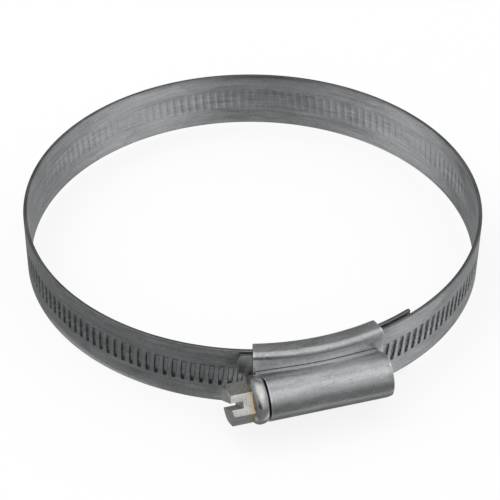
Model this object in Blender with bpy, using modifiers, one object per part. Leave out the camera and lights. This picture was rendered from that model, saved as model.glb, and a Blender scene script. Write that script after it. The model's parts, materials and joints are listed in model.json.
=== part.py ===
"""Worm-drive hose clamp: a steel band closed into a ring by a worm screw in a folded housing.

Metres, +Z along the hose.  The origin is the centre of the clamp's bounding box, at half the
band's width.  The housing is on the -Y side, and the screw lies parallel to X with its head
towards -X.

The band is one flexible strip.  Here it is a row of stiff arcs: the fixed end in the housing, a
run of equal segments round the ring, and the tail, which slides through the housing under the
worm.  The ring arc and the slide arc are tangent where the segments meet the tail.
"""
import math

import bmesh
import bpy
from mathutils import Matrix, Vector

MM = 0.001

# Driving dimensions -------------------------------------------------------------------------
BORE_RADIUS = 47.2 * MM          # inner face of the free ring, as shown
SLIDE_RADIUS = 49.42 * MM        # middle of the tail, about the arc it slides along
BAND_WIDTH = 13.0 * MM
BAND_THICKNESS = 0.8 * MM
LAYER_GAP = 0.5 * MM             # between the fixed end and the tail that lies over it
SEAM_GAP = 0.3 * MM              # between the stiff arcs that stand for the flexible strip

SEGMENT_COUNT = 12
GROOVES_PER_SEGMENT = 11
TAIL_GROOVES = 36
MOUTH_LENGTH = 2.2 * MM          # how far the last segment reaches into the housing
STUB_LENGTH = 8.5 * MM           # fixed end standing out of the housing on the far side
TIP_CUT_BELOW = 9.0 * MM         # the tail's lower corner, cut off at 45 degrees
TIP_CUT_ABOVE = 1.2 * MM         # its upper corner
FIXED_END_STEPS = 18

GROOVE_LENGTH = 4.5 * MM
GROOVE_WIDTH = 1.15 * MM
GROOVE_FLOOR_LENGTH = 3.8 * MM
GROOVE_FLOOR_WIDTH = 0.78 * MM
GROOVE_DEPTH = 0.52 * MM

HOUSING_LENGTH = 24.7 * MM
SHEET = 0.75 * MM                # housing sheet
FIT = 0.3 * MM                   # clearance between the housing sheet and the band
AXIS_OFFSET = 3.5 * MM           # screw axis beyond the middle of the tail
BARREL_RADIUS = 4.5 * MM         # outside
BARREL_LEFT = -11.7 * MM
BARREL_RIGHT = 12.4 * MM
CRIMP_LENGTH = 0.9 * MM
CRIMP_DEPTH = 0.15 * MM
SEAM_HEIGHT = 5.2 * MM           # cut edge of the barrel sheet, above the band's middle
SEAM_LEFT = -12.6 * MM           # the ends of that edge
SEAM_RIGHT = 11.8 * MM
SEAM_FIT = 0.1 * MM              # between that edge and the saddle's flank
SEAM_ANGLE = math.radians(92)    # where the barrel's round wall ends and the lip begins
LIP_RADIUS = 0.45 * MM
FLANK_END = 3.3 * MM             # hidden edge of the sheet, under the barrel
SADDLE_CORNER = 0.7 * MM         # the saddle's corners, to the middle of the sheet

CREST_RADIUS = 3.5 * MM
CORE_RADIUS = 2.7 * MM
CREST_WIDTH = 0.5 * MM
THREAD_FLANK = math.radians(20)
THREAD_FROM = -10.6 * MM
THREAD_TO = 10.8 * MM
SCREW_END = 11.7 * MM
COLLAR_BACK = -11.95 * MM
COLLAR_RADIUS = 4.7 * MM
HEX_ACROSS_FLATS = 7.0 * MM
HEX_BACK = -14.8 * MM
HEX_END = -19.1 * MM
HEX_CHAMFER = 0.45 * MM
SLOT_WIDTH = 1.3 * MM
SLOT_DEPTH = 2.4 * MM
HEAD_TURN = math.radians(38)     # a flat, and the slot across it, this far above straight outwards

# Derived sizes ------------------------------------------------------------------------------
HALF_BAND = BAND_THICKNESS / 2
RING_RADIUS = BORE_RADIUS + HALF_BAND
FIXED_RADIUS = SLIDE_RADIUS - BAND_THICKNESS - LAYER_GAP
OFFSET = SLIDE_RADIUS - RING_RADIUS
HALF_ANGLE = HOUSING_LENGTH / 2 / FIXED_RADIUS
# The ring arc leaves the slide arc tangentially and comes back to the fixed layer at the mouth.
SWEEP = math.acos((FIXED_RADIUS**2 + OFFSET**2 - RING_RADIUS**2) / (2 * OFFSET * FIXED_RADIUS))
JOIN_ANGLE = -math.pi / 2 + SWEEP - HALF_ANGLE
AXIS_RADIUS = SLIDE_RADIUS + AXIS_OFFSET
SHIFT = Vector((-OFFSET * math.cos(JOIN_ANGLE), -OFFSET * math.sin(JOIN_ANGLE), 0))
MOUTH = SHIFT + FIXED_RADIUS * Vector((-math.sin(HALF_ANGLE), -math.cos(HALF_ANGLE), 0))
MOUTH_ANGLE = math.atan2(MOUTH.y, MOUTH.x) % (2 * math.pi)
RING_CENTRE = Vector((0, (AXIS_RADIUS + BARREL_RADIUS - SHIFT.y - RING_RADIUS - HALF_BAND) / 2, 0))
SLIDE_CENTRE = RING_CENTRE + SHIFT
SEGMENT_ANGLE = (MOUTH_ANGLE - JOIN_ANGLE + MOUTH_LENGTH / RING_RADIUS) / SEGMENT_COUNT
PITCH = SEGMENT_ANGLE * RING_RADIUS / GROOVES_PER_SEGMENT
THREAD_PITCH = PITCH * (SLIDE_RADIUS + HALF_BAND / 2) / SLIDE_RADIUS
LEAD_ANGLE = math.atan(THREAD_PITCH / (2 * math.pi * (CREST_RADIUS - GROOVE_DEPTH / 2)))
TIP_ANGLE = JOIN_ANGLE - TAIL_GROOVES * PITCH / SLIDE_RADIUS


def collection(name):
    """A collection linked to the scene."""
    made = bpy.data.collections.new(name)
    bpy.context.scene.collection.children.link(made)
    return made


def material(name, color, roughness, metallic=1.0):
    """A Principled BSDF with one colour."""
    made = bpy.data.materials.new(name)
    made.use_nodes = True
    shader = made.node_tree.nodes["Principled BSDF"]
    shader.inputs["Base Color"].default_value = (*color, 1)
    shader.inputs["Roughness"].default_value = roughness
    shader.inputs["Metallic"].default_value = metallic
    return made


def shade(mesh):
    """Smooth shading, with sharp edges left sharp."""
    mesh.shade_smooth()
    mesh.set_sharp_from_angle(angle=math.radians(32))


def mesh_from(bm, name):
    """Close off a bmesh as mesh data with its faces pointing out."""
    bmesh.ops.recalc_face_normals(bm, faces=bm.faces)
    mesh = bpy.data.meshes.new(name)
    bm.to_mesh(mesh)
    bm.free()
    shade(mesh)
    return mesh


def place(name, mesh, group, finish=None, location=(0, 0, 0), turn=0.0):
    """An object in a collection, turned about Z."""
    made = bpy.data.objects.new(name, mesh)
    made.location = location
    made.rotation_euler = (0, 0, turn)
    group.objects.link(made)
    if finish and not mesh.materials:
        mesh.materials.append(finish)
    return made


def hide(thing):
    """Mark a cutter or guide, which isn't part of the clamp."""
    thing.hide_render = True
    thing.display_type = "WIRE"
    return thing


def boolean(target, tool, operation):
    """One exact Boolean modifier."""
    modifier = target.modifiers.new(tool.name, "BOOLEAN")
    modifier.operation = operation
    modifier.solver = "EXACT"
    modifier.object = tool


def applied(source):
    """The mesh of an object with its modifiers worked out."""
    graph = bpy.context.evaluated_depsgraph_get()
    return bpy.data.meshes.new_from_object(source.evaluated_get(graph), depsgraph=graph)


# The band -------------------------------------------------------------------------------------
def strip(radius, stations):
    """A strip bent about (0, radius): a rectangle spun through the given angles."""
    bm = bmesh.new()
    half = BAND_WIDTH / 2
    corners = [(-HALF_BAND, -half), (HALF_BAND, -half), (HALF_BAND, half), (-HALF_BAND, half)]
    face = bm.faces.new([bm.verts.new((0, y, z)) for y, z in corners])
    centre = Vector((0, radius, 0))
    bmesh.ops.rotate(bm, cent=centre, matrix=Matrix.Rotation(stations[0], 3, "Z"), verts=bm.verts)
    geometry = [face, *face.edges, *face.verts]
    for start, end in zip(stations, stations[1:]):
        spun = bmesh.ops.spin(bm, geom=geometry, cent=centre, axis=(0, 0, 1), angle=end - start, steps=1)
        geometry = spun["geom_last"]
    return bm


def frustum(bm, outer, floor, matrix):
    """Add a block that narrows from its outer size at z = +h to its floor size at z = -h."""
    made = bmesh.ops.create_cube(bm, size=1)
    for vert in made["verts"]:
        size = outer if vert.co.z > 0 else floor
        vert.co = Vector((vert.co.x * size[0], vert.co.y * size[1], vert.co.z * size[2]))
    bmesh.ops.transform(bm, matrix=matrix, verts=made["verts"])


def groove_cutters(radius, angles):
    """Slanted pockets in the outer face of a strip bent about (0, radius)."""
    bm = bmesh.new()
    above = GROOVE_DEPTH / 2
    grow = (GROOVE_WIDTH - GROOVE_FLOOR_WIDTH) / GROOVE_DEPTH * above
    outer = (GROOVE_WIDTH + grow, GROOVE_LENGTH + grow, 2 * above)
    floor = (GROOVE_FLOOR_WIDTH, GROOVE_FLOOR_LENGTH, 2 * GROOVE_DEPTH)
    facet = math.cos(PITCH / radius / 2)
    for angle in angles:
        round_centre = Matrix.Translation((0, radius, 0)) @ Matrix.Rotation(angle, 4, "Z")
        to_face = Matrix.Translation((0, -(radius + HALF_BAND) * facet, 0))
        slant = Matrix.Rotation(LEAD_ANGLE, 4, "Y")
        outwards = Matrix.Rotation(math.pi / 2, 4, "X")
        frustum(bm, outer, floor, round_centre @ to_face @ slant @ outwards)
    return bm


def grooved_strip(name, radius, count, finish, cutters, tip=False):
    """A finished strip with a groove in each of count pitches, as mesh data."""
    step = PITCH / radius
    trim = SEAM_GAP / 2 / radius
    first = 0 if tip else trim
    stations = [first, *(step * n for n in range(1, count)), step * count - trim]
    body = place(f"{name}_blank", mesh_from(strip(radius, stations), name), cutters)
    angles = [step * (n + 0.5) for n in range(count)]
    tool = place(f"{name}_grooves", mesh_from(groove_cutters(radius, angles), name), cutters)
    boolean(body, tool, "DIFFERENCE")
    if tip:
        boolean(body, tip_cutter(cutters), "DIFFERENCE")
    mesh = applied(body)
    shade(mesh)
    mesh.materials.clear()
    mesh.materials.append(finish)
    for spare in (body, tool):
        hide(spare)
    return mesh


def tip_cutter(cutters):
    """What is cut from the tail's tip: the lower corner at 45 degrees, and a little of the upper."""
    bm = bmesh.new()
    for z, reach in ((-BAND_WIDTH / 2, TIP_CUT_BELOW), (BAND_WIDTH / 2, TIP_CUT_ABOVE)):
        made = bmesh.ops.create_cube(bm, size=reach * math.sqrt(2))
        turn = Matrix.Translation((0, 0, z)) @ Matrix.Rotation(math.pi / 4, 4, "Y")
        bmesh.ops.transform(bm, matrix=turn, verts=made["verts"])
    return hide(place("tail_tip_corners", mesh_from(bm, "tail_tip_corners"), cutters))


def ring_point(angle):
    """A point on the middle of the free ring."""
    return RING_CENTRE + RING_RADIUS * Vector((math.cos(angle), math.sin(angle), 0))


def make_band(group, cutters, finish):
    """The tail, the equal segments of the free ring, and the fixed end in the housing."""
    tail = grooved_strip("band_tail", SLIDE_RADIUS, TAIL_GROOVES, finish, cutters, tip=True)
    # The tail's origin is the centre of its arc, which is where its joint axis stands.
    to_centre = Matrix.Translation((0, -SLIDE_RADIUS, 0))
    tail.transform(Matrix.Rotation(TIP_ANGLE + math.pi / 2, 4, "Z") @ to_centre)
    place("band_tail", tail, group, location=SLIDE_CENTRE)

    segment = grooved_strip("band_segment", RING_RADIUS, GROOVES_PER_SEGMENT, finish, cutters)
    for n in range(SEGMENT_COUNT):
        angle = JOIN_ANGLE + n * SEGMENT_ANGLE
        turn = angle + math.pi / 2
        place(f"band_segment_{n + 1:02d}", segment, group, location=ring_point(angle), turn=turn)

    start = -HALF_ANGLE + (MOUTH_LENGTH + 2 * SEAM_GAP) / FIXED_RADIUS
    end = HALF_ANGLE + STUB_LENGTH / FIXED_RADIUS
    step = (end - start) / FIXED_END_STEPS
    fixed = strip(FIXED_RADIUS, [start + step * n for n in range(FIXED_END_STEPS + 1)])
    bmesh.ops.translate(fixed, vec=(0, -FIXED_RADIUS, 0), verts=fixed.verts)
    place("band_fixed_end", mesh_from(fixed, "band_fixed_end"), group, finish, location=SLIDE_CENTRE)


# The housing ----------------------------------------------------------------------------------
def arc(centre, radius, start, end, steps):
    """Points on a circle in the section, from one angle to another."""
    turns = [start + (end - start) * n / steps for n in range(steps + 1)]
    return [(centre[0] + radius * math.cos(t), centre[1] + radius * math.sin(t)) for t in turns]


def housing_section(shrink):
    """The middle line of the folded sheet, as (distance out from the slide centre, height).

    Returns the saddle's points, which follow the band's arc, then the barrel's points, which run
    straight along the screw.  shrink draws the barrel's wall in, for the crimped end.
    """
    flank = SLIDE_RADIUS + HALF_BAND + FIT + SHEET / 2
    inside = FIXED_RADIUS - HALF_BAND - FIT - SHEET / 2
    near = flank - SADDLE_CORNER
    far = inside + SADDLE_CORNER
    height = BAND_WIDTH / 2 + FIT + SHEET / 2 - SADDLE_CORNER
    quarter = math.pi / 2
    saddle = [(flank, FLANK_END), (flank, (FLANK_END + height) / 2)]
    saddle += arc((near, height), SADDLE_CORNER, 0, quarter, 4)
    saddle += arc((far, height), SADDLE_CORNER, quarter, 2 * quarter, 4)
    saddle += [(inside, height * level) for level in (0.33, -0.33)]
    saddle += arc((far, -height), SADDLE_CORNER, -2 * quarter, -quarter, 4)

    # The sheet leaves the last corner along the line that touches both the corner and the barrel.
    axis = SLIDE_RADIUS + AXIS_OFFSET
    wall = BARREL_RADIUS - SHEET / 2
    run = math.hypot(axis - near, height)
    tangent = math.atan2(height, axis - near) - math.asin((wall - SADDLE_CORNER) / run) - quarter
    saddle += arc((near, -height), SADDLE_CORNER, -quarter, tangent, 2)

    barrel = arc((axis, 0), wall - shrink, tangent, SEAM_ANGLE, 14)
    edge = flank + SHEET + SEAM_FIT
    lip = (edge + LIP_RADIUS, barrel[-1][1] + LIP_RADIUS)
    barrel += arc(lip, LIP_RADIUS, -quarter, -2 * quarter, 3)
    barrel += [(edge, SEAM_HEIGHT)]
    return saddle, barrel


def make_housing(group, finish):
    """One sheet, folded round both band layers and then round the screw, as a loft of sections."""
    stops = [n / 8 for n in range(8)]
    crimp = CRIMP_LENGTH / (BARREL_RIGHT - BARREL_LEFT)
    stops += [1 - crimp, 1]
    bm = bmesh.new()
    rows = []
    for stop in stops:
        saddle, barrel = housing_section(CRIMP_DEPTH if stop == 1 else 0)
        turn = HALF_ANGLE * (2 * stop - 1)
        along = BARREL_LEFT + (BARREL_RIGHT - BARREL_LEFT) * stop
        points = [(r * math.sin(turn), -r * math.cos(turn), z) for r, z in saddle]
        points += [(along, -r, z) for r, z in barrel[:-1]]
        # The cut edge is shifted towards the head, so that the sheet's ends are slanted there.
        out, height = barrel[-1]
        points += [(SEAM_LEFT + (SEAM_RIGHT - SEAM_LEFT) * stop, -out, height)]
        rows.append([bm.verts.new(p) for p in points])
    for low, high in zip(rows, rows[1:]):
        for a, b, c, d in zip(low, low[1:], high[1:], high):
            bm.faces.new((a, b, c, d))
    housing = place("housing", mesh_from(bm, "housing"), group, finish, location=SLIDE_CENTRE)
    shell = housing.modifiers.new("sheet", "SOLIDIFY")
    shell.thickness = SHEET
    shell.offset = 0
    shell.use_even_offset = True


# The screw ------------------------------------------------------------------------------------
def turned(profile, name, cutters_or_group, finish=None):
    """A turned solid about the local Z axis; the profile runs down its outer side."""
    bm = bmesh.new()
    verts = [bm.verts.new((r, 0, z)) for r, z in profile]
    for a, b in zip(verts, verts[1:]):
        bm.edges.new((a, b))
    mesh = bpy.data.meshes.new(name)
    bm.to_mesh(mesh)
    bm.free()
    made = place(name, mesh, cutters_or_group, finish)
    lathe = made.modifiers.new("lathe", "SCREW")
    lathe.axis = "Z"
    lathe.steps = 24
    lathe.render_steps = 24
    lathe.use_merge_vertices = True
    lathe.merge_threshold = 0.00001
    lathe.use_smooth_shade = True
    return made


def groove_at_screw():
    """Where, along the screw, the groove nearest the housing's middle lies."""
    step = PITCH / SLIDE_RADIUS
    nearest = round((JOIN_ANGLE + math.pi / 2) / step - 0.5)
    return SLIDE_RADIUS * (JOIN_ANGLE + math.pi / 2 - (nearest + 0.5) * step)


def thread_ridge():
    """The screw's thread: a tooth spun along a right-hand helix about the local Z axis."""
    steps_per_turn = 16
    root = CORE_RADIUS - 0.15 * MM
    half_crest = CREST_WIDTH / 2
    half_root = half_crest + (CREST_RADIUS - root) * math.tan(THREAD_FLANK)
    first = groove_at_screw()
    start = first - math.floor((first - THREAD_FROM) / THREAD_PITCH) * THREAD_PITCH
    turns = math.floor((THREAD_TO - start) / THREAD_PITCH)
    bm = bmesh.new()
    tooth = [(root, -half_root), (CREST_RADIUS, -half_crest), (CREST_RADIUS, half_crest), (root, half_root)]
    face = bm.faces.new([bm.verts.new((0, y, start + z)) for y, z in tooth])
    # Started a little way along its own helix, so that its edges don't meet the core's.
    early = math.radians(5)
    bmesh.ops.rotate(bm, cent=(0, 0, 0), matrix=Matrix.Rotation(early, 3, "Z"), verts=bm.verts)
    bmesh.ops.translate(bm, vec=(0, 0, THREAD_PITCH * early / (2 * math.pi)), verts=bm.verts)
    bmesh.ops.spin(
        bm, geom=[face, *face.edges, *face.verts], cent=(0, 0, 0), axis=(0, 0, 1),
        dvec=(0, 0, THREAD_PITCH / steps_per_turn), angle=turns * 2 * math.pi, steps=turns * steps_per_turn,
    )
    return mesh_from(bm, "thread")


def hex_head():
    """The hexagon, with its outer edges chamfered, about the local Z axis."""
    length = HEX_BACK + 0.5 * MM - HEX_END
    corner = HEX_ACROSS_FLATS / math.sqrt(3)
    turn = Matrix.Rotation(math.pi / 2 - HEAD_TURN, 4, "Z")
    bm = bmesh.new()
    bmesh.ops.create_cone(
        bm, cap_ends=True, segments=6, radius1=corner, radius2=corner, depth=length,
        matrix=Matrix.Translation((0, 0, HEX_END + length / 2)) @ turn,
    )
    rim = [e for e in bm.edges if all(abs(v.co.z - HEX_END) < 1e-6 for v in e.verts)]
    bmesh.ops.bevel(bm, geom=rim, offset=HEX_CHAMFER, segments=1, affect="EDGES")
    return mesh_from(bm, "hexagon")


def slot_block():
    """The screwdriver slot, open at both sides, across one pair of flats."""
    bm = bmesh.new()
    made = bmesh.ops.create_cube(bm, size=1)
    depth = SLOT_DEPTH + 1 * MM
    size = Matrix.Diagonal((SLOT_WIDTH, 12 * MM, depth, 1))
    seat = Matrix.Translation((0, 0, HEX_END + SLOT_DEPTH - depth / 2)) @ Matrix.Rotation(-HEAD_TURN, 4, "Z")
    bmesh.ops.transform(bm, matrix=seat @ size, verts=made["verts"])
    return mesh_from(bm, "slot")


def make_screw(group, cutters, finish):
    """The worm screw: core, collar, thread, hexagon and slot in one piece."""
    chamfer = 0.4 * MM
    profile = [
        (0, SCREW_END), (CORE_RADIUS - chamfer, SCREW_END), (CORE_RADIUS, SCREW_END - chamfer),
        (CORE_RADIUS, COLLAR_BACK), (COLLAR_RADIUS - 0.5 * MM, COLLAR_BACK),
        (COLLAR_RADIUS - 0.1 * MM, COLLAR_BACK - 0.8 * MM), (COLLAR_RADIUS, COLLAR_BACK - 1.5 * MM),
        (COLLAR_RADIUS - 0.1 * MM, HEX_BACK + 0.75 * MM), (COLLAR_RADIUS - 0.5 * MM, HEX_BACK + 0.3 * MM),
        (COLLAR_RADIUS - 1.3 * MM, HEX_BACK), (0, HEX_BACK),
    ]
    screw = turned(profile, "worm_screw", group, finish)
    # Local Z becomes world +X, and local Y stays world +Y, towards the band.
    middle = SLIDE_CENTRE + Vector((0, -AXIS_RADIUS, 0))
    seat = Matrix.Translation(middle) @ Matrix.Rotation(math.pi / 2, 4, "Y")
    screw.matrix_world = seat
    for mesh, operation in ((thread_ridge(), "UNION"), (hex_head(), "UNION"), (slot_block(), "DIFFERENCE")):
        tool = hide(place(f"screw_{mesh.name}", mesh, cutters))
        tool.matrix_world = seat
        boolean(screw, tool, operation)


def main():
    for thing in list(bpy.data.objects):
        bpy.data.objects.remove(thing)
    clamp = collection("hose_clamp")
    cutters = collection("cutters")
    band_steel = material("galvanised_band", (0.42, 0.43, 0.44), 0.42)
    housing_steel = material("zinc_plated_sheet", (0.50, 0.51, 0.52), 0.38)
    screw_steel = material("bright_zinc_screw", (0.66, 0.65, 0.60), 0.28)
    make_band(clamp, cutters, band_steel)
    make_housing(clamp, housing_steel)
    make_screw(clamp, cutters, screw_steel)


main()
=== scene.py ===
"""A worm-drive hose clamp on a pale floor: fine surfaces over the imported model's bodies."""
import json
import math

import bmesh
import bpy
from mathutils import Matrix, Vector


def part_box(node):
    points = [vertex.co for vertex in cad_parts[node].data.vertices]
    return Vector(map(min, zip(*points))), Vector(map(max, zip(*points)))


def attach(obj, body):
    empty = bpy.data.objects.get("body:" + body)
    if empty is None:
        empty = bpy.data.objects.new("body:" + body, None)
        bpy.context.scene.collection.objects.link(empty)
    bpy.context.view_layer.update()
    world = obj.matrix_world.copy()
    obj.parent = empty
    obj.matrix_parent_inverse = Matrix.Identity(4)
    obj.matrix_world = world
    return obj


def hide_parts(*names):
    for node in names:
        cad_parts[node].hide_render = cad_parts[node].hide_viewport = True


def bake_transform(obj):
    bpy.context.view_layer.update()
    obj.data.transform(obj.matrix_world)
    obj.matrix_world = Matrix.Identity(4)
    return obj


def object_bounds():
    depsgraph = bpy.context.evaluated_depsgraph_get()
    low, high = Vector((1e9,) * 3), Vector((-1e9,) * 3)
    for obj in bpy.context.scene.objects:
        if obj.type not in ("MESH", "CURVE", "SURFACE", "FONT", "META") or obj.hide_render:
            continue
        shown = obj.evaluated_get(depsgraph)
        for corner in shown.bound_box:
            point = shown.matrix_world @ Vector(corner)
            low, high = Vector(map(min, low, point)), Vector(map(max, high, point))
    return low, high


MM = 0.001

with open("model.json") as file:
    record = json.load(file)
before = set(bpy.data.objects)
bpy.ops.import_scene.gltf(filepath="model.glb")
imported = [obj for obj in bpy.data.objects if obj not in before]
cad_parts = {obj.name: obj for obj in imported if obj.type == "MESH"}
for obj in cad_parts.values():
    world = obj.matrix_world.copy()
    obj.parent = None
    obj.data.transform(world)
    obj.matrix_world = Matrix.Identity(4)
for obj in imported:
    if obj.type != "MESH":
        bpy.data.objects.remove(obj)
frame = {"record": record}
cad_box = [list(corner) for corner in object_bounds()]


# Where things are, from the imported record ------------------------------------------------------
joints = {joint["name"]: joint for joint in frame["record"]["behaviour"]["joints"]}
flex = [Vector(joints[name]["pos_m"]) for name in sorted(joints) if name.startswith("flex_")]
slide_centre = Vector(joints["tail_slide"]["pos_m"])
screw_axis = Vector(joints["screw_turn"]["pos_m"])


def circle_centre(a, b, c):
    """The centre of the circle through three points of the XY plane."""
    turn = 2 * (a.x * (b.y - c.y) + b.x * (c.y - a.y) + c.x * (a.y - b.y))
    squares = [p.x**2 + p.y**2 for p in (a, b, c)]
    x = (squares[0] * (b.y - c.y) + squares[1] * (c.y - a.y) + squares[2] * (a.y - b.y)) / turn
    y = (squares[0] * (c.x - b.x) + squares[1] * (a.x - c.x) + squares[2] * (b.x - a.x)) / turn
    return Vector((x, y, 0))


ring_centre = circle_centre(flex[0], flex[4], flex[8])
join = flex[0] - ring_centre
JOIN_ANGLE = math.atan2(join.y, join.x)          # where the tail's arc meets the ring's
RING_RADIUS = join.length                        # the strip's radii are to its middle
SLIDE_RADIUS = (flex[0] - slide_centre).length
SEGMENTS = len(flex)
SEGMENT_ANGLE = 2 * math.asin((flex[1] - flex[0]).length / 2 / RING_RADIUS)
GROOVES = 11                                     # to a segment
TAIL_GROOVES = 36
PITCH = SEGMENT_ANGLE * RING_RADIUS / GROOVES
MESH_RADIUS = 3.25 * MM                          # of the worm, where its thread meets the grooves
LEAN = PITCH / (2 * math.pi * MESH_RADIUS)       # slope of a groove, the worm's lead

BAND_HALF_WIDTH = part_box("band_segment_06")[1].z
BAND_HALF = 0.4 * MM                             # half the band's thickness
LAYER_STEP = 1.3 * MM                            # from the tail's middle to the fixed end's
FIXED_RADIUS = SLIDE_RADIUS - LAYER_STEP
HOUSING_LENGTH = 24.7 * MM                       # along the fixed end's middle
HALF_ANGLE = HOUSING_LENGTH / 2 / FIXED_RADIUS
AXIS_OUT = slide_centre.y - screw_axis.y         # screw axis, out from the slide's centre


# Materials --------------------------------------------------------------------------------------
class Nodes:
    """A material's node tree, with short ways to add and link nodes."""

    def __init__(self, name):
        self.material = bpy.data.materials.new(name)
        self.material.use_nodes = True
        self.tree = self.material.node_tree
        self.shader = self.tree.nodes["Principled BSDF"]

    def add(self, kind, inputs=None, **settings):
        node = self.tree.nodes.new(kind)
        for key, value in settings.items():
            setattr(node, key, value)
        for key, value in (inputs or {}).items():
            self.put(value, node.inputs[key])
        return node

    def put(self, value, socket):
        """Link another node's output to a socket, or set the socket's own value."""
        if isinstance(value, bpy.types.NodeSocket):
            self.tree.links.new(value, socket)
        else:
            socket.default_value = value

    def math(self, operation, a, b):
        node = self.add("ShaderNodeMath", operation=operation)
        self.put(a, node.inputs[0])
        self.put(b, node.inputs[1])
        return node.outputs[0]

    def weighted(self, *terms):
        """The sum of (value, weight) terms."""
        parts = [self.math("MULTIPLY", value, weight) for value, weight in terms]
        total = parts[0]
        for part in parts[1:]:
            total = self.math("ADD", total, part)
        return total

    def swayed(self, value, noise, amount):
        """A value that a noise moves up and down by half the amount."""
        change = self.math("MULTIPLY", self.math("SUBTRACT", noise, 0.5), amount)
        return self.math("ADD", change, value)

    def ramp(self, factor, *stops):
        """A colour ramp through (place, grey or colour) stops."""
        node = self.add("ShaderNodeValToRGB", {"Fac": factor})
        elements = node.color_ramp.elements
        while len(elements) < len(stops):
            elements.new(0.5)
        for element, (place, value) in zip(elements, stops):
            element.position = place
            color = value if isinstance(value, tuple) else (value, value, value)
            element.color = (*color, 1)
        return node.outputs["Color"]

    def noise(self, vector, scale, detail, roughness, distortion=0.0):
        node = self.add("ShaderNodeTexNoise", {
            "Vector": vector,
            "Scale": scale,
            "Detail": detail,
            "Roughness": roughness,
            "Distortion": distortion,
        })
        return node.outputs["Fac"]

    def mix(self, factor, a, b, blend="MIX"):
        node = self.add("ShaderNodeMix", data_type="RGBA", blend_type=blend)
        self.put(factor, node.inputs["Factor"])
        self.put(a, node.inputs["A"])
        self.put(b, node.inputs["B"])
        return node.outputs["Result"]

    def cover(self, base, mask, strength, color):
        """A colour laid over the base where the mask is white, as strongly as strength says."""
        return self.mix(self.math("MULTIPLY", mask, strength), base, color)

    def stretched(self, source, x, y, z):
        """A vector with each of its parts multiplied."""
        node = self.add("ShaderNodeVectorMath", {1: (x, y, z)}, operation="MULTIPLY")
        self.put(source, node.inputs[0])
        return node.outputs[0]

    def object_vector(self):
        """Where a point is in its object, in millimetres."""
        place = self.add("ShaderNodeTexCoord").outputs["Object"]
        return self.stretched(place, 1 / MM, 1 / MM, 1 / MM)

    def attribute(self, name):
        return self.add("ShaderNodeAttribute", attribute_name=name).outputs["Fac"]

    def strip_vector(self):
        """Where a point is on the unrolled strip, in millimetres: along, across, layer."""
        parts = {"X": self.attribute("along"), "Y": self.attribute("across"), "Z": self.attribute("face")}
        return self.add("ShaderNodeCombineXYZ", parts).outputs[0]


def steel(name, color, dark, roughness, source, grain, crevice_shade, streaks, specks, edge_wear_and_highlight):
    """Zinc-coated steel: rolling lines, clouds, bright streaks, specks, edges made paler as wear and
    as a painted highlight, and painted shade in corners and creases, and on the strip's grooves and
    slit edges.

    source is "strip" for a vector along the strip, or "object".  grain is how many lines there are
    to the millimetre along X, Y and Z.  The last four are strengths, 0 to 1: painted shade in corners
    and creases, streaks, specks, and edges made paler as wear and as painted highlight.
    to the millimetre along X, Y and Z.  crevice, streaks, specks and wear are strengths, 0 to 1.
    """
    nodes = Nodes(name)
    vector = nodes.strip_vector() if source == "strip" else nodes.object_vector()
    finer_grain = [4.0 * g if g < 1 else 1.6 * g for g in grain]
    lines = nodes.noise(nodes.stretched(vector, *grain), 1.0, 6.0, 0.75)
    clouds = nodes.noise(nodes.stretched(vector, 0.12, 0.35, 0.3), 1.0, 5.0, 0.7, 0.8)
    fine = nodes.noise(vector, 2.6, 5.0, 0.8)
    scratch = nodes.noise(nodes.stretched(vector, *finer_grain), 1.0, 3.0, 0.6, 0.3)
    speck = nodes.noise(vector, 1.9, 2.0, 0.5)
    # Ambient occlusion, low in corners and creases: the mask for the painted shade there.
    hollow = nodes.add("ShaderNodeAmbientOcclusion", {"Distance": 0.45 * MM}, samples=8).outputs["AO"]
    ridge = nodes.add("ShaderNodeNewGeometry").outputs["Pointiness"]

    pale = (*(min(1.0, c * 1.45) for c in color), 1)
    pit = (*(c * 0.6 for c in dark), 1)
    # The colour of the painted shade in corners, creases, grooves and on slit edges.
    shade_colour = (*(c * 0.1 for c in dark), 1)

    tone = nodes.weighted((lines, 0.42), (clouds, 0.34), (fine, 0.24))
    base = nodes.mix(nodes.ramp(tone, (0.4, 0.0), (0.6, 1.0)), (*dark, 1), (*color, 1))
    base = nodes.cover(base, nodes.ramp(scratch, (0.62, 0.0), (0.76, 1.0)), streaks, pale)
    base = nodes.cover(base, nodes.ramp(speck, (0.6, 0.0), (0.74, 1.0)), specks, pale)
    base = nodes.cover(base, nodes.ramp(speck, (0.27, 1.0), (0.34, 0.0)), 0.7, pit)
    # Painted shade where the ambient occlusion finds corners and creases.
    base = nodes.cover(base, nodes.ramp(hollow, (0.4, 1.0), (0.85, 0.0)), crevice_shade, shade_colour)
    # Painted shade on the strip's groove walls, groove ends and slit edges, from its mesh.
    if source == "strip":
        base = nodes.cover(base, nodes.attribute("painted_shade"), 0.9, shade_colour)
    # Paler convex edges: wear, and also a painted highlight along the housing's seam and corners.
    base = nodes.cover(base, nodes.ramp(ridge, (0.515, 0.0), (0.56, 1.0)), edge_wear_and_highlight, pale)

    rough = nodes.swayed(nodes.swayed(roughness, lines, 0.25), clouds, 0.3)
    height = nodes.weighted((lines, 0.6), (fine, 0.4))
    dent = nodes.add("ShaderNodeBump", {"Strength": 0.25, "Distance": 0.03 * MM, "Height": height})
    nodes.put(base, nodes.shader.inputs["Base Color"])
    nodes.put(rough, nodes.shader.inputs["Roughness"])
    nodes.put(1.0, nodes.shader.inputs["Metallic"])
    nodes.put(dent.outputs["Normal"], nodes.shader.inputs["Normal"])
    return nodes


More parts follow.
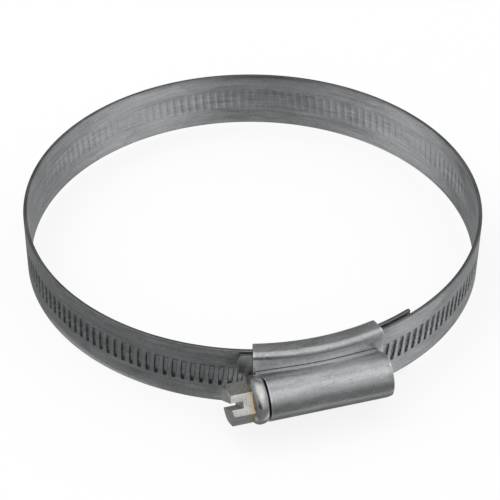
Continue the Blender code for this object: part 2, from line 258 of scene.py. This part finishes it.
def plating_tints(nodes):
    """Yellow, brown and blue stains on the screw's zinc, where the hexagon meets the collar."""
    first = screw_axis.x + HEX_BACK - 1.6 * MM
    length = 4.6 * MM
    place = nodes.add("ShaderNodeTexCoord").outputs["Object"]
    along = nodes.add("ShaderNodeSeparateXYZ", {"Vector": place}).outputs["X"]
    depth = nodes.math("MULTIPLY", nodes.math("SUBTRACT", along, first), 1 / length)
    depth = nodes.swayed(depth, nodes.noise(nodes.object_vector(), 0.45, 3.0, 0.6), 0.5)
    tint = nodes.ramp(
        depth,
        (0.0, (1.0, 1.0, 1.0)),
        (0.16, (1.0, 1.0, 1.0)),
        (0.3, (1.0, 0.84, 0.56)),     # yellow
        (0.38, (0.72, 0.6, 0.48)),    # brown
        (0.5, (0.66, 0.82, 0.95)),    # blue
        (0.62, (1.0, 0.97, 0.88)),    # cream
        (0.8, (0.95, 0.96, 1.0)),     # the collar's cool white
    )
    plain = nodes.shader.inputs["Base Color"].links[0].from_socket
    nodes.put(nodes.mix(1.0, plain, tint, "MULTIPLY"), nodes.shader.inputs["Base Color"])


def glowing(name, grey, glow):
    """A matt grey that also gives off white light."""
    nodes = Nodes(name)
    nodes.put((grey, grey, grey, 1), nodes.shader.inputs["Base Color"])
    nodes.put(1.0, nodes.shader.inputs["Roughness"])
    nodes.put((1, 1, 1, 1), nodes.shader.inputs["Emission Color"])
    nodes.put(glow, nodes.shader.inputs["Emission Strength"])
    return nodes


# Meshes ------------------------------------------------------------------------------------------
def linked(name, data):
    """A new object in the scene."""
    made = bpy.data.objects.new(name, data)
    bpy.context.scene.collection.objects.link(made)
    return made


def new_piece(name, mesh, material, body):
    """A finished mesh as a piece, which rides on a body when one is given."""
    piece = linked(name, mesh)
    mesh.materials.clear()
    mesh.materials.append(material)
    if body:
        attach(piece, body)
    return piece


def mesh_from(name, bm):
    """A mesh from a bmesh, which is freed."""
    mesh = bpy.data.meshes.new(name)
    bm.to_mesh(mesh)
    bm.free()
    return mesh


def evaluated_mesh(thing):
    """A copy of an object's mesh with its modifiers applied."""
    graph = bpy.context.evaluated_depsgraph_get()
    return bpy.data.meshes.new_from_object(thing.evaluated_get(graph), depsgraph=graph)


def tube_mesh(name, rings, sharp):
    """A closed solid from rings of points of equal length, with its two ends capped."""
    count = len(rings[0])
    faces = []
    for row in range(len(rings) - 1):
        low, high = row * count, (row + 1) * count
        for n in range(count):
            m = (n + 1) % count
            faces.append((low + n, low + m, high + m, high + n))
    last = (len(rings) - 1) * count
    faces.append(tuple(range(count))[::-1])
    faces.append(tuple(last + n for n in range(count)))
    mesh = bpy.data.meshes.new(name)
    mesh.from_pydata([point for ring in rings for point in ring], [], faces)
    bm = bmesh.new()
    bm.from_mesh(mesh)
    bmesh.ops.recalc_face_normals(bm, faces=bm.faces)
    bm.to_mesh(mesh)
    bm.free()
    mesh.shade_smooth()
    mesh.set_sharp_from_angle(angle=math.radians(sharp))
    return mesh


def step_up(low, high, x):
    """0 on low's side, 1 on high's side, smooth between.  high may be the smaller one."""
    t = min(1.0, max(0.0, (x - low) / (high - low)))
    return t * t * (3 - 2 * t)


# The band ----------------------------------------------------------------------------------------
# The strip's surface is drawn in mm: u along it from a groove's middle, z across it from its own
# middle, and offset out from the middle of its thickness.
HALF_WIDTH = 6.5
ROUND = 0.14              # radius of the slit edges
GROOVE_TOP = 2.2
GROOVE_FOOT = -2.45
GROOVE_DEEPEST = -1.25
GROOVE_DEPTH = 0.52
GROOVE_HALF_FLOOR = 0.42  # half a groove's width along the strip, at its floor
GROOVE_HALF = 0.585       # and at the strip's face
NARROW_FROM = 0.2         # a groove gets narrower from this z to its foot
NARROWING = 0.3           # by this share of its width
LEAN_REACH = 2.7          # the grooves lean as far as this z, on both sides
EDGE_SHADE = 0.5           # painted shade on the strip's slit edges, 0 to 1
TIP_CUT = 2.5             # the tail tip's lower corner is cut off from this z, at 45 degrees
TIP_ROUND = 1.1           # radius of its upper corner
END_THIN = 0.1            # taken off each face at the strip's ends, so that their rims are blunt
RELIEF = 0.07             # how far the inner face stands out behind a groove

# Where the mesh has its points: u over one pitch, from half a pitch back, and z over the two
# faces.  They are close together where a groove has a wall, a step or an end.
ALONG = (-0.907, -0.7, -0.61, -0.56, -0.48, -0.41, -0.35, -0.16, 0.16, 0.35, 0.41, 0.48, 0.56, 0.61, 0.7)
OUTSIDE = (
    -6.36, -5.4, -4.2, -3.3, -2.8, -2.5, -2.35, -2.15, -1.9, -1.65, -1.4, -0.9, -0.2,
    0.6, 1.3, 1.75, 1.98, 2.08, 2.18, 2.3, 2.6, 3.3, 4.3, 5.4, 6.36,
)
INSIDE = (6.36, 5.2, 3.8, 2.9, 2.5, 2.15, 1.6, 0.6, -0.6, -1.6, -2.15, -2.5, -2.9, -3.8, -5.2, -6.36)

# Each of the ring's pieces spans one hinge, and they meet in the middle of the lands.
BEND_BEFORE = 6           # pitches before a hinge
BEND_AFTER = 5            # pitches after it
MOUTH_GAP = 0.15 * MM     # left off the ring's end, inside the housing's mouth
FIXED_INSET = 2.8 * MM    # from the housing's left end to the fixed end's hidden end


def groove_inside(u, z):
    """1 on a groove's floor and 0 on the lands, with a side wall between."""
    narrow = 1.0 - NARROWING * step_up(NARROW_FROM, GROOVE_FOOT, z)
    return 1 - step_up(GROOVE_HALF_FLOOR * narrow, GROOVE_HALF * narrow, abs(u))


def groove_depth(u, z):
    """How far the outer face is sunk.

    The floor is hollow, like the worm that runs in it: it sinks slowly from a low step at the top
    to its deepest place, then rises steeply to the foot, where the groove is also narrower.
    """
    if z > GROOVE_DEEPEST:
        part = (z - GROOVE_DEEPEST) / (GROOVE_TOP - GROOVE_DEEPEST)
        step = 1 - step_up(GROOVE_TOP - 0.14, GROOVE_TOP + 0.05, z)
        hollow = (1 - 0.6 * min(1.0, part) ** 1.8) * step
    else:
        part = (GROOVE_DEEPEST - z) / (GROOVE_DEEPEST - GROOVE_FOOT)
        hollow = 1 - min(1.0, part) ** 1.6
    return GROOVE_DEPTH * hollow * groove_inside(u, z)


def groove_shade(u, z):
    """How much painted shade a groove gets: most on its side walls, its top step and its steep foot."""
    inside = groove_inside(u, z)
    wall = 1 - abs(2 * inside - 1)
    step = inside * step_up(GROOVE_TOP - 0.35, GROOVE_TOP - 0.05, z)
    foot = inside * step_up(-1.3, -2.0, z)
    above_foot = step_up(GROOVE_FOOT - 0.1, GROOVE_FOOT + 0.1, z)
    below_top = 1 - step_up(GROOVE_TOP, GROOVE_TOP + 0.2, z)
    return above_foot * below_top * max(wall, step, foot)


def relief_height(u, z):
    """How far the press pushed the inner face out behind a groove, fading out round it."""
    return RELIEF * (1 - step_up(0.3, 0.8, abs(u))) * (1 - step_up(1.7, 2.6, abs(z)))


def band_point(s, offset, z):
    """A point of the strip: s along it from the tail's hinge, towards the ring when positive."""
    if s >= 0:
        centre, radius = ring_centre, RING_RADIUS
    else:
        centre, radius = slide_centre, SLIDE_RADIUS
    angle = JOIN_ANGLE + s / radius
    reach = radius + offset
    return centre + Vector((reach * math.cos(angle), reach * math.sin(angle), z))


def plain_section(half):
    """The strip's outline without grooves, as (z, offset, 1 on the outer face or 0)."""
    corner = ROUND * (1 - math.sqrt(0.5))
    outline = [(z, half, 1) for z in OUTSIDE]
    outline += [
        (HALF_WIDTH - corner, half - corner, 1),
        (HALF_WIDTH, half - ROUND, 1),
        (HALF_WIDTH, -half + ROUND, 0),
        (HALF_WIDTH - corner, -half + corner, 0),
    ]
    outline += [(z, -half, 0) for z in INSIDE]
    outline += [
        (-HALF_WIDTH + corner, -half + corner, 0),
        (-HALF_WIDTH, -half + ROUND, 0),
        (-HALF_WIDTH, half - ROUND, 1),
        (-HALF_WIDTH + corner, half - corner, 1),
    ]
    return outline


def band_section(s, slant, low=-HALF_WIDTH, high=HALF_WIDTH, grooved=1.0, thin=0.0):
    """The strip's outline at s, as (point, along, across, face, painted shade), with lengths in mm.

    slant is how much of the grooves' lean it has, low and high are its edges, grooved is 0 for a
    plain strip and thin is taken off both faces.
    """
    half = BAND_HALF / MM - thin
    pitch = PITCH / MM
    u = (s / MM) % pitch - pitch / 2
    points = []
    for drawn_z, offset, face in plain_section(half):
        z = low + (drawn_z + HALF_WIDTH) * (high - low) / (2 * HALF_WIDTH)
        along = s / MM + LEAN * max(-LEAN_REACH, min(LEAN_REACH, z)) * slant
        # Painted shade on the slit edges, and on the outer face also on a groove's walls, top step and
        # foot.
        painted_shade = EDGE_SHADE if abs(offset) != half else 0.0
        if face:
            # A groove cuts through the tail's slanted edge, but leaves the edge some thickness.
            painted_shade = max(painted_shade, grooved * groove_shade(u, z))
            offset -= grooved * groove_depth(u, z) * (1.0 if offset == half else 0.9)
        elif offset == -half:
            offset -= grooved * relief_height(u, z)
        points.append((band_point(along * MM, offset * MM, z * MM), along, z, face, painted_shade))
    return points


def stations(first, last):
    """Places along the strip from one pitch number to another, close together at groove walls."""
    pitch = PITCH / MM
    scale = pitch / 2 / -ALONG[0]
    found = []
    for n in range(first, last):
        found += [((n + 0.5) * pitch + u * scale) * MM for u in ALONG]
    return found + [last * pitch * MM]


def strip_mesh(name, rows):
    """A mesh from band sections, which remembers where each point lies on the strip."""
    mesh = tube_mesh(name, [[entry[0] for entry in row] for row in rows], sharp=40)
    entries = [entry for row in rows for entry in row]
    # along, across and face say where a point lies on the strip; the last is its painted shade.
    for n, key in enumerate(("along", "across", "face", "painted_shade")):
        layer = mesh.attributes.new(key, "FLOAT", "POINT")
        layer.data.foreach_set("value", [entry[n + 1] for entry in entries])
    return mesh


def make_tail(material):
    """The free end, up to the first bend."""
    tip = -TAIL_GROOVES * PITCH
    rows = []
    for s in stations(-TAIL_GROOVES, -BEND_BEFORE):
        from_tip = (s - tip) / MM
        low = max(-HALF_WIDTH, TIP_CUT - from_tip)
        short = TIP_ROUND - min(max(from_tip, 0.0), TIP_ROUND)
        high = HALF_WIDTH - TIP_ROUND + math.sqrt(TIP_ROUND**2 - short**2)
        # The mesh's rows stand square at the tip, and lean with the grooves from 6 mm on.
        slant = step_up(1.5, 6.0, from_tip)
        rows.append(band_section(s, slant, low, high, thin=0.0 if rows else END_THIN))
    tail = new_piece("band_tail_skin", strip_mesh("band_tail_skin", rows), material, "tail")
    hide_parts("band_tail")


def make_ring(material):
    """The ring, one piece to a hinge, and the end that reaches into the housing's mouth."""
    for k in range(SEGMENTS):
        hinge = k * GROOVES
        name = f"band_bend_{k + 1:02d}"
        rows = [band_section(s, 1.0) for s in stations(hinge - BEND_BEFORE, hinge + BEND_AFTER)]
        piece = new_piece(name, strip_mesh(name, rows), material, None)
        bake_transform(piece)
        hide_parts(f"band_segment_{k + 1:02d}")

    name = "band_mouth_end"
    last = SEGMENTS * GROOVES
    places = stations(last - BEND_BEFORE, last)
    places[-1] -= MOUTH_GAP
    rows = [band_section(s, 1.0) for s in places]
    new_piece(name, strip_mesh(name, rows), material, f"segment_{SEGMENTS:02d}")


def make_fixed_end(material):
    """The clinched end, one layer further in than the tail, with a short stub out on the right."""
    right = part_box("band_fixed_end")[1].x
    start_angle = -HALF_ANGLE + FIXED_INSET / FIXED_RADIUS
    end_angle = math.asin((right - slide_centre.x) / (FIXED_RADIUS + BAND_HALF))
    steps = 60
    rows = []
    for n in range(steps + 1):
        angle = start_angle + (end_angle - start_angle) * n / steps
        thin = END_THIN if n == steps else 0.0
        row = []
        # The plain section's painted shade on the slit edges comes along.
        for point, _, z, face, painted_shade in band_section(0.0, 0.0, grooved=0.0, thin=thin):
            reach = FIXED_RADIUS + (point - slide_centre).xy.length - SLIDE_RADIUS
            place = slide_centre + Vector((reach * math.sin(angle), -reach * math.cos(angle), z * MM))
            row.append((place, FIXED_RADIUS * angle / MM, z, face, painted_shade))
        rows.append(row)
    fixed = new_piece("band_fixed_skin", strip_mesh("band_fixed_skin", rows), material, "housing")
    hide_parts("band_fixed_end")


# The housing ---------------------------------------------------------------------------------------
SHEET = 0.75 * MM
FIT = 0.3 * MM            # between the sheet and the band
CORNER = 0.85 * MM        # the saddle's corners, to the middle of the sheet
FLANK_END = 2.0 * MM      # the sheet's hidden edge, under the barrel
BARREL_RADIUS = 4.5 * MM
BARREL_LEFT = -11.7 * MM
BARREL_RIGHT = 12.4 * MM
CRIMP = 0.15 * MM         # how far the barrel is drawn in at the screw's far end
CRIMP_LENGTH = 0.9 * MM
SEAM_LEFT = -12.6 * MM    # the ends of the barrel's cut edge
SEAM_RIGHT = 11.8 * MM
SEAM_FIT = 0.1 * MM       # between that edge and the saddle's flank
LIP = 0.4 * MM            # radius of the upturned edge
LIP_END = 0.1 * MM        # its straight end
SHEET_EDGE = 0.17 * MM    # how far the sheet's edges are rounded
HOUSING_STEPS = 64        # along the housing
BARREL_STEPS = 48         # round the barrel


def arc(centre, radius, start, end, steps):
    """Points on a circle in the section, from one angle to another."""
    turns = [start + (end - start) * n / steps for n in range(steps + 1)]
    return [(centre[0] + radius * math.cos(t), centre[1] + radius * math.sin(t)) for t in turns]


def saddle_section():
    """The saddle's middle line as (out, height), and the angle at which the barrel goes on from it.

    The saddle is flat on top, with a rounded corner on each side.
    """
    flank = SLIDE_RADIUS + BAND_HALF + FIT + SHEET / 2
    inside = FIXED_RADIUS - BAND_HALF - FIT - SHEET / 2
    near, far = flank - CORNER, inside + CORNER
    height = BAND_HALF_WIDTH + FIT + SHEET / 2 - CORNER
    quarter = math.pi / 2
    saddle = [(flank, FLANK_END), (flank, (FLANK_END + height) / 2)]
    saddle += arc((near, height), CORNER, 0, quarter, 9)
    saddle += [((near + far) / 2, height + CORNER)]
    saddle += arc((far, height), CORNER, quarter, 2 * quarter, 9)
    saddle += [(inside, height * level) for level in (0.5, 0, -0.5)]
    saddle += arc((far, -height), CORNER, -2 * quarter, -quarter, 9)
    # The underside runs straight from the last corner to the barrel, and is tangent to both.
    run = math.hypot(AXIS_OUT - near, height)
    wall = BARREL_RADIUS - SHEET / 2
    tangent = math.atan2(height, AXIS_OUT - near) - math.asin((wall - CORNER) / run) - quarter
    saddle += arc((near, -height), CORNER, -quarter, tangent, 5)
    return saddle, tangent


def barrel_row(start, stop):
    """The barrel's middle line, a fraction stop along it, up to the lip that lies on the flank."""
    along = BARREL_LEFT + (BARREL_RIGHT - BARREL_LEFT) * stop
    crimp = CRIMP * (1 - step_up(0, CRIMP_LENGTH, BARREL_RIGHT - along))
    radius = BARREL_RADIUS - SHEET / 2 - crimp
    seam = SEAM_LEFT + (SEAM_RIGHT - SEAM_LEFT) * stop
    flank = math.sqrt((SLIDE_RADIUS + BAND_HALF + FIT + SHEET) ** 2 - seam**2)
    line = flank + SEAM_FIT + SHEET / 2
    top = math.pi / 2
    end = math.acos((line + LIP - AXIS_OUT) / radius)
    row = []
    for n in range(BARREL_STEPS + 1):
        turn = start + (end - start) * n / BARREL_STEPS
        # Past the barrel's top the sheet's ends run over to the seam's ends.
        past = max(0.0, (turn - top) / (end - top))
        x = along + (seam - along) * past
        row.append((x, -AXIS_OUT - radius * math.cos(turn), radius * math.sin(turn)))
    lip_height = row[-1][2] + LIP
    lip = arc((line + LIP, lip_height), LIP, -top, -2 * top, 5)[1:] + [(line, lip_height + LIP_END)]
    return row + [(seam, -out, height) for out, height in lip]


def make_housing(material):
    """The folded sheet: saddle, barrel, the crimp at the screw's far end and the cut edge."""
    saddle, tangent = saddle_section()
    rows = []
    for n in range(HOUSING_STEPS + 1):
        stop = n / HOUSING_STEPS
        turn = HALF_ANGLE * (2 * stop - 1)
        row = [(out * math.sin(turn), -out * math.cos(turn), height) for out, height in saddle]
        row += barrel_row(tangent, stop)
        rows.append([slide_centre + Vector(place) for place in row])
    width = len(rows[0])
    faces = []
    for n in range(HOUSING_STEPS):
        low, high = n * width, (n + 1) * width
        faces += [(low + i, low + i + 1, high + i + 1, high + i) for i in range(width - 1)]
    mesh = bpy.data.meshes.new("housing_skin")
    mesh.from_pydata([point for row in rows for point in row], [], faces)
    mesh.shade_smooth()
    housing = new_piece("housing_skin", mesh, material, "housing")
    sheet = housing.modifiers.new("sheet", "SOLIDIFY")
    sheet.thickness = SHEET
    sheet.offset = 0
    sheet.use_even_offset = True
    edges = housing.modifiers.new("edges", "BEVEL")
    edges.width = SHEET_EDGE
    edges.segments = 2
    edges.limit_method = "ANGLE"
    edges.angle_limit = math.radians(60)
    edges.harden_normals = True
    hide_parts("housing")


# The screw -----------------------------------------------------------------------------------------
# It is drawn about its own axis, with z from the housing's middle towards its far end.
SHANK_START = -11.9 * MM
SHANK_LENGTH = 23.55 * MM
SHANK_CHAMFER = 0.3 * MM
CORE = 2.7 * MM           # radius between the threads
CREST = 3.5 * MM          # radius of the threads
HALF_CREST = 0.25 * MM    # half a thread's width at its crest
HALF_ROOT = 0.54 * MM     # and at its root
WORM_START = -10.6 * MM
WORM_END = 10.8 * MM
COLLAR = 4.7 * MM
HEX_BACK = -14.8 * MM
HEX_END = -19.1 * MM
HEX_FLATS = 7.0 * MM
HEX_FACE = 3.3 * MM       # radius of its chamfered end face
SLOT_WIDTH = 1.3 * MM
SLOT_DEPTH = 2.4 * MM
HEAD_TURN = math.radians(38)
HEAD_EDGE = 0.11 * MM     # how far the head's edges are rounded


def lathe(name, profile, steps):
    """A turned solid about local Z from a profile of (radius, height)."""
    smallest = 0.02 * MM  # an end on the axis is a small disc, because a ring can't be one point
    turns = [2 * math.pi * n / steps for n in range(steps)]
    rings = []
    for radius, height in profile:
        radius = max(radius, smallest)
        rings.append([Vector((radius * math.cos(t), radius * math.sin(t), height)) for t in turns])
    return tube_mesh(name, rings, sharp=28)


def baked(target, tools):
    """The mesh that Boolean modifiers make from (tool, operation) pairs, which are then removed."""
    for tool, operation in tools:
        modifier = target.modifiers.new(tool.name, "BOOLEAN")
        modifier.operation = operation
        modifier.solver = "EXACT"
        modifier.object = tool
    mesh = evaluated_mesh(target)
    for thing in (target, *(tool for tool, _ in tools)):
        bpy.data.objects.remove(thing)
    return mesh


def worm_mesh():
    """The threaded part, as one skin whose radius follows the thread, with tapered ends."""
    sides, rows = 40, 340
    turns = [2 * math.pi * n / sides for n in range(sides)]
    # The thread has a crest in the groove nearest the housing's middle.
    join_at = SLIDE_RADIUS * (JOIN_ANGLE + math.pi / 2)
    groove = join_at - (round(join_at / PITCH - 0.5) + 0.5) * PITCH
    # The grooves are a little further apart where it meets them than in the strip's middle.
    meeting_radius = SLIDE_RADIUS + 0.2 * MM
    lead = PITCH * meeting_radius / SLIDE_RADIUS
    rings = []
    for n in range(rows + 1):
        z = SHANK_START + SHANK_LENGTH * n / rows
        fade_in = step_up(WORM_START - 0.2 * MM, WORM_START + 0.6 * MM, z)
        fade_out = 1 - step_up(WORM_END - 0.6 * MM, WORM_END + 0.2 * MM, z)
        chamfer = SHANK_CHAMFER if n == rows else 0.0
        ring = []
        for turn in turns:
            phase = ((z - groove) / lead - (turn - math.pi / 2) / (2 * math.pi) + 0.5) % 1 - 0.5
            tooth = 1 - step_up(HALF_CREST, HALF_ROOT, abs(phase) * lead)
            radius = CORE + (CREST - CORE) * tooth * fade_in * fade_out - chamfer
            ring.append(Vector((radius * math.cos(turn), radius * math.sin(turn), z)))
        rings.append(ring)
    return tube_mesh("worm", rings, sharp=50)


def collar_mesh():
    """The domed collar: flat where it faces the barrel, and round over its rim to the hexagon."""
    outline = [  # how far in from the collar's radius, and z, in mm
        (0.55, -11.98), (0.38, -12.06), (0.22, -12.28), (0.09, -12.65), (0.02, -13.05), (0, -13.4),
        (0.05, -13.75), (0.2, -14.1), (0.45, -14.4), (0.8, -14.62), (1.2, -14.76), (1.6, -14.8),
    ]
    back, front = outline[0][1] * MM, outline[-1][1] * MM
    profile = [(CORE + 0.3 * MM, back)]
    profile += [(COLLAR - inset * MM, z * MM) for inset, z in outline]
    profile += [(0, front)]
    return lathe("collar", profile[::-1], 96)


def hexagon_mesh():
    """The hexagon before its end is chamfered."""
    sunk = 0.5 * MM  # into the collar
    length = HEX_BACK + sunk - HEX_END
    corner = HEX_FLATS / math.sqrt(3)
    place = Matrix.Translation((0, 0, HEX_END + length / 2))
    turn = Matrix.Rotation(math.pi / 2 - HEAD_TURN, 4, "Z")
    bm = bmesh.new()
    bmesh.ops.create_cone(
        bm, cap_ends=True, segments=6, radius1=corner, radius2=corner, depth=length, matrix=place @ turn,
    )
    return mesh_from("hexagon", bm)


def slot_mesh():
    """What the screwdriver slot takes away, longer than the head is wide and clear of its end."""
    length = 12 * MM
    clear = 1.0 * MM
    size = Matrix.Diagonal((SLOT_WIDTH, length, SLOT_DEPTH + clear, 1))
    place = Matrix.Translation((0, 0, HEX_END + (SLOT_DEPTH - clear) / 2))
    turn = Matrix.Rotation(-HEAD_TURN, 4, "Z")
    bm = bmesh.new()
    bmesh.ops.create_cube(bm, size=1, matrix=place @ turn @ size)
    return mesh_from("slot", bm)


def head_mesh():
    """The collar and the slotted hexagon, whose corners are turned down at the end."""
    wide = 6.2 * MM
    chamfer_length = 1.75 * MM
    back = HEX_BACK + 1.0 * MM
    cone = [(wide, back), (wide, HEX_END + chamfer_length), (HEX_FACE, HEX_END), (0, HEX_END)]
    collar = linked("collar", collar_mesh())
    hexagon = linked("hexagon", hexagon_mesh())
    chamfer = linked("chamfer", lathe("chamfer", cone[::-1], 72))
    slot = linked("slot", slot_mesh())
    shaped = linked("head", baked(hexagon, [(chamfer, "INTERSECT"), (slot, "DIFFERENCE")]))
    edges = shaped.modifiers.new("edges", "BEVEL")
    edges.width = HEAD_EDGE
    edges.segments = 3
    edges.limit_method = "ANGLE"
    edges.angle_limit = math.radians(24)
    rounded = linked("rounded", evaluated_mesh(shaped))
    bpy.data.objects.remove(shaped)
    return baked(collar, [(rounded, "UNION")])


def make_screw(material):
    """The worm screw: its head and its worm, two closed skins in one mesh.

    They don't touch.  The worm starts 0.08 mm behind the collar, inside the barrel's mouth.
    """
    worm = linked("worm", worm_mesh())
    mesh = baked(worm, [(linked("head", head_mesh()), "UNION")])
    mesh.transform(Matrix.Translation(screw_axis) @ Matrix.Rotation(math.pi / 2, 4, "Y"))
    mesh.shade_smooth()
    mesh.set_sharp_from_angle(angle=math.radians(34))
    screw = new_piece("worm_screw_skin", mesh, material, "screw")
    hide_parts("worm_screw")


# The floor, the light and the camera ----------------------------------------------------------------
BASE_GLOW = 0.45
DARKEST = 0.02
STUDIO = (
    # direction, full within, gone beyond (degrees), gain
    ((0.1, -0.12, 1.0), 22, 58, 0.55),            # panel overhead
    ((0.23, 0.76, 0.61), 5, 40, -0.25),           # gap between the panel and the back wall
    ((0.2, -0.78, 0.6), 8, 40, 0.3),              # panel above the camera
    ((0.61, -0.51, -0.61), 5, 38, 0.4),           # table, front right
    ((-0.74, 0.27, -0.61), 5, 34, 0.42),          # table, left
    ((0.79, 0.07, -0.61), 5, 38, 0.04),           # table, right
    ((-0.45, 0.65, -0.61), 5, 38, -0.17),         # table, back left
    ((-0.42, -0.9, 0.05), 10, 38, -0.45),         # dark room behind the camera
    ((0.1, 0.1, -1.0), 10, 45, -0.22),            # shade under the clamp
)
# The card is a part of a ring about the clamp's centre, by angle and distance.
CARD_START = math.radians(-188)
CARD_BARREL = math.radians(-113)                  # from here on it keeps clear of the barrel
CARD_END = math.radians(-64)
CARD_NEAR_BAND = 0.0495
CARD_NEAR_BARREL = 0.062
CARD_REACH = 0.2
CARD_STEPS = 24


def make_floor(level):
    """A wide pale floor under the clamp."""
    bm = bmesh.new()
    bmesh.ops.create_grid(bm, x_segments=1, y_segments=1, size=4)
    floor = linked("floor", mesh_from("floor", bm))
    floor.location.z = level
    # Mostly self-lit, as a sheet of paper on a light table, so that the shadow on it is faint.
    nodes = glowing("pale_floor", 0.16, 0.84)
    nodes.put(0.0, nodes.shader.inputs["Specular IOR Level"])
    floor.data.materials.append(nodes.material)
    # The clamp mirrors the studio round it and not the sheet of paper it lies on.
    floor.visible_glossy = False


def make_card(level):
    """A grey card on the table in front and to the left, which only the metal sees."""
    bm = bmesh.new()
    rows = []
    for n in range(CARD_STEPS + 1):
        angle = CARD_START + (CARD_END - CARD_START) * n / CARD_STEPS
        side = Vector((math.cos(angle), math.sin(angle), 0))
        inner = CARD_NEAR_BAND if angle < CARD_BARREL else CARD_NEAR_BARREL
        places = [ring_centre + side * reach + Vector((0, 0, level)) for reach in (inner, CARD_REACH)]
        rows.append([bm.verts.new(place) for place in places])
    for (a, b), (c, d) in zip(rows, rows[1:]):
        bm.faces.new((a, b, d, c))
    card = linked("card", mesh_from("card", bm))
    card.data.materials.append(glowing("grey_card", 0.02, 0.17).material)
    card.visible_camera = False
    card.visible_diffuse = False
    card.visible_shadow = False


def make_world():
    """An even white studio for the floor, and a graded one for what the metal mirrors."""
    world = bpy.data.worlds.new("studio")
    bpy.context.scene.world = world
    world.use_nodes = True
    tree = world.node_tree
    for node in list(tree.nodes):
        tree.nodes.remove(node)

    def add(kind, **settings):
        node = tree.nodes.new(kind)
        for key, value in settings.items():
            setattr(node, key, value)
        return node

    def patch(direction, core, rim, gain):
        """More or less light round a direction, full within core degrees of it and none past rim."""
        dot = add("ShaderNodeVectorMath", operation="DOT_PRODUCT")
        tree.links.new(sky.outputs["Generated"], dot.inputs[0])
        dot.inputs[1].default_value = Vector(direction).normalized()
        span = add("ShaderNodeMapRange", interpolation_type="SMOOTHSTEP")
        tree.links.new(dot.outputs["Value"], span.inputs["Value"])
        span.inputs["From Min"].default_value = math.cos(math.radians(rim))
        span.inputs["From Max"].default_value = math.cos(math.radians(core))
        span.inputs["To Max"].default_value = gain
        return span.outputs["Result"]

    sky = add("ShaderNodeTexCoord")
    glow = add("ShaderNodeValue")
    glow.outputs[0].default_value = BASE_GLOW
    total = glow.outputs[0]
    for row in STUDIO:
        joined = add("ShaderNodeMath", operation="ADD")
        tree.links.new(total, joined.inputs[0])
        tree.links.new(patch(*row), joined.inputs[1])
        total = joined.outputs[0]
    limited = add("ShaderNodeMath", operation="MAXIMUM")
    tree.links.new(total, limited.inputs[0])
    limited.inputs[1].default_value = DARKEST
    mirrored = add("ShaderNodeBackground")
    tree.links.new(limited.outputs[0], mirrored.inputs["Strength"])
    even = add("ShaderNodeBackground")
    even.inputs["Strength"].default_value = 1.0
    choice = add("ShaderNodeMixShader")
    tree.links.new(add("ShaderNodeLightPath").outputs["Is Glossy Ray"], choice.inputs["Fac"])
    tree.links.new(even.outputs[0], choice.inputs[1])
    tree.links.new(mirrored.outputs[0], choice.inputs[2])
    tree.links.new(choice.outputs[0], add("ShaderNodeOutputWorld").inputs["Surface"])


def make_lamp(place, target, size, power):
    """A soft square lamp, which throws the faint shadow on the floor and isn't mirrored."""
    data = bpy.data.lights.new("key", "AREA")
    data.shape = "SQUARE"
    data.size = size
    data.energy = power
    lamp = linked("key", data)
    lamp.location = place
    lamp.rotation_euler = (target - Vector(place)).to_track_quat("-Z", "Y").to_euler()
    lamp.visible_glossy = False


def make_camera():
    """A camera in front, to the left and above, as the clamp is seen lying on a table."""
    azimuth = math.radians(-17.12)
    elevation = math.radians(37.77)
    roll = math.radians(0.64)
    distance = 0.3416
    level = math.cos(elevation)
    back = Vector((math.sin(azimuth) * level, -math.cos(azimuth) * level, math.sin(elevation)))
    data = bpy.data.cameras.new("camera")
    data.sensor_width = 36
    data.lens = 115.6
    data.shift_x = -0.0053
    data.shift_y = -0.0564
    data.clip_start = 0.01
    data.clip_end = 20
    camera = linked("camera", data)
    seat = Matrix.Translation(ring_centre + back * distance)
    aim = (-back).to_track_quat("-Z", "Y").to_matrix().to_4x4()
    camera.matrix_world = seat @ aim @ Matrix.Rotation(roll, 4, "Z")
    bpy.context.scene.camera = camera


# The scene -----------------------------------------------------------------------------------------
band_steel = steel(
    "galvanised_band", color=(0.66, 0.68, 0.69), dark=(0.33, 0.345, 0.35), roughness=0.36,
    source="strip", grain=(0.05, 1.3, 1.0), crevice_shade=0.95, streaks=0.5, specks=0.35, edge_wear_and_highlight=0.0,
)
sheet_steel = steel(
    "zinc_sheet", color=(0.68, 0.69, 0.70), dark=(0.42, 0.43, 0.435), roughness=0.32,
    source="object", grain=(0.16, 1.1, 1.1), crevice_shade=0.3, streaks=0.45, specks=0.3, edge_wear_and_highlight=0.9,
)
screw_steel = steel(
    "bright_zinc", color=(0.9, 0.9, 0.88), dark=(0.6, 0.59, 0.57), roughness=0.24,
    source="object", grain=(2.0, 0.9, 0.9), crevice_shade=0.6, streaks=0.2, specks=0.4, edge_wear_and_highlight=0.5,
)
plating_tints(screw_steel)
make_tail(band_steel.material)
make_ring(band_steel.material)
make_fixed_end(band_steel.material)
make_housing(sheet_steel.material)
make_screw(screw_steel.material)
make_floor(cad_box[0][2] - 0.1 * MM)
make_card(cad_box[0][2] - 0.05 * MM)
make_world()
make_lamp((-0.25, 0.15, 0.6), ring_centre, size=0.5, power=1.2)
make_camera()
bpy.context.scene.view_settings.view_transform = "Standard"
